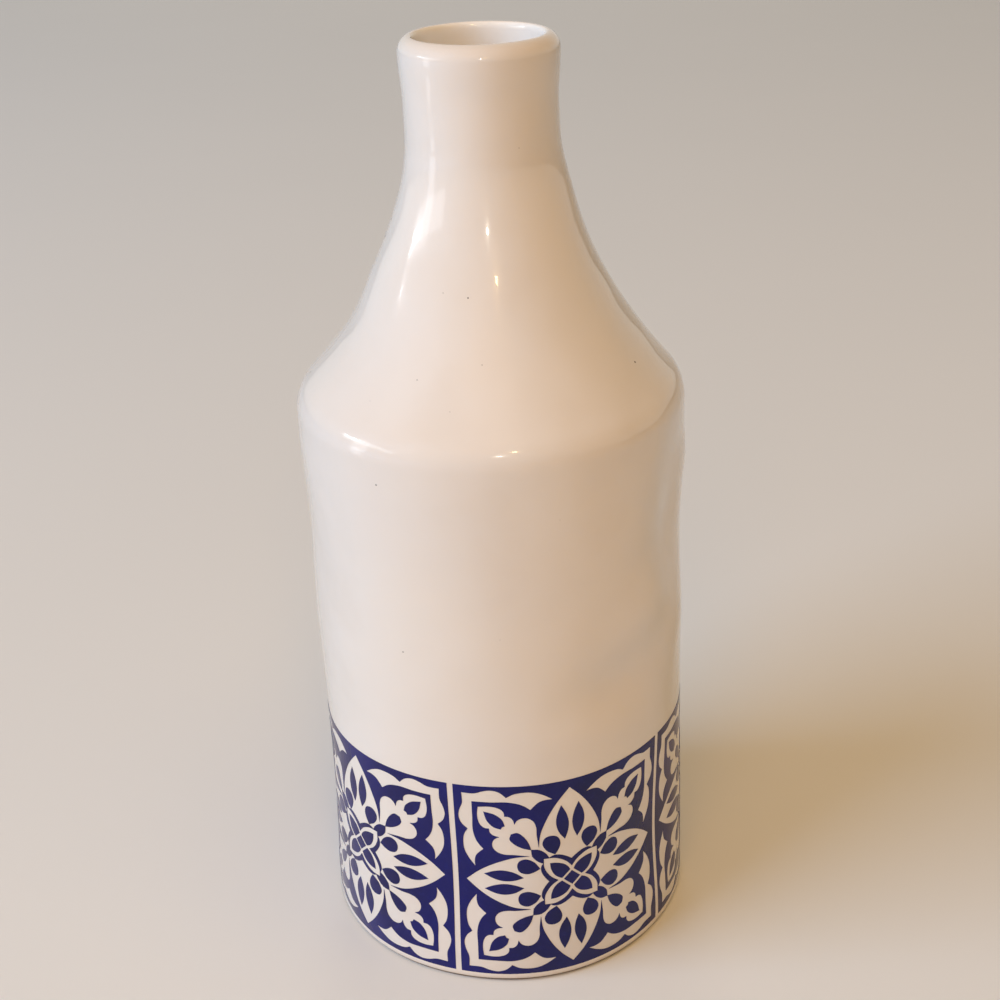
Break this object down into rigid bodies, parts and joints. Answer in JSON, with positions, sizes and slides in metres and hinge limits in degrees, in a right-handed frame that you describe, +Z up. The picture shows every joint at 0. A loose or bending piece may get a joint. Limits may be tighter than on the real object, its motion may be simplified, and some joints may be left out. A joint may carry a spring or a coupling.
{
  "type": "bottle vase",
  "caption": "Tall white glazed bottle vase with a straight body, a sloping shoulder, a narrow neck and a band of square blue tile prints round the base.",
  "frame": {"origin": "centre of the foot ring's resting face", "axes": "+Z up the vase's axis, out through the mouth; -Y towards the viewer"},
  "size_m": [0.1202, 0.1202, 0.29],
  "materials": {
    "white_glaze": "glossy",
    "cobalt_print": "glossy"
  },
  "bodies": {
    "root": {"vase_body": "white_glaze", "tile_transfer_1": "cobalt_print", "tile_transfer_2": "cobalt_print", "tile_transfer_3": "cobalt_print", "tile_transfer_4": "cobalt_print", "tile_transfer_5": "cobalt_print"}
  },
  "joints": []
}
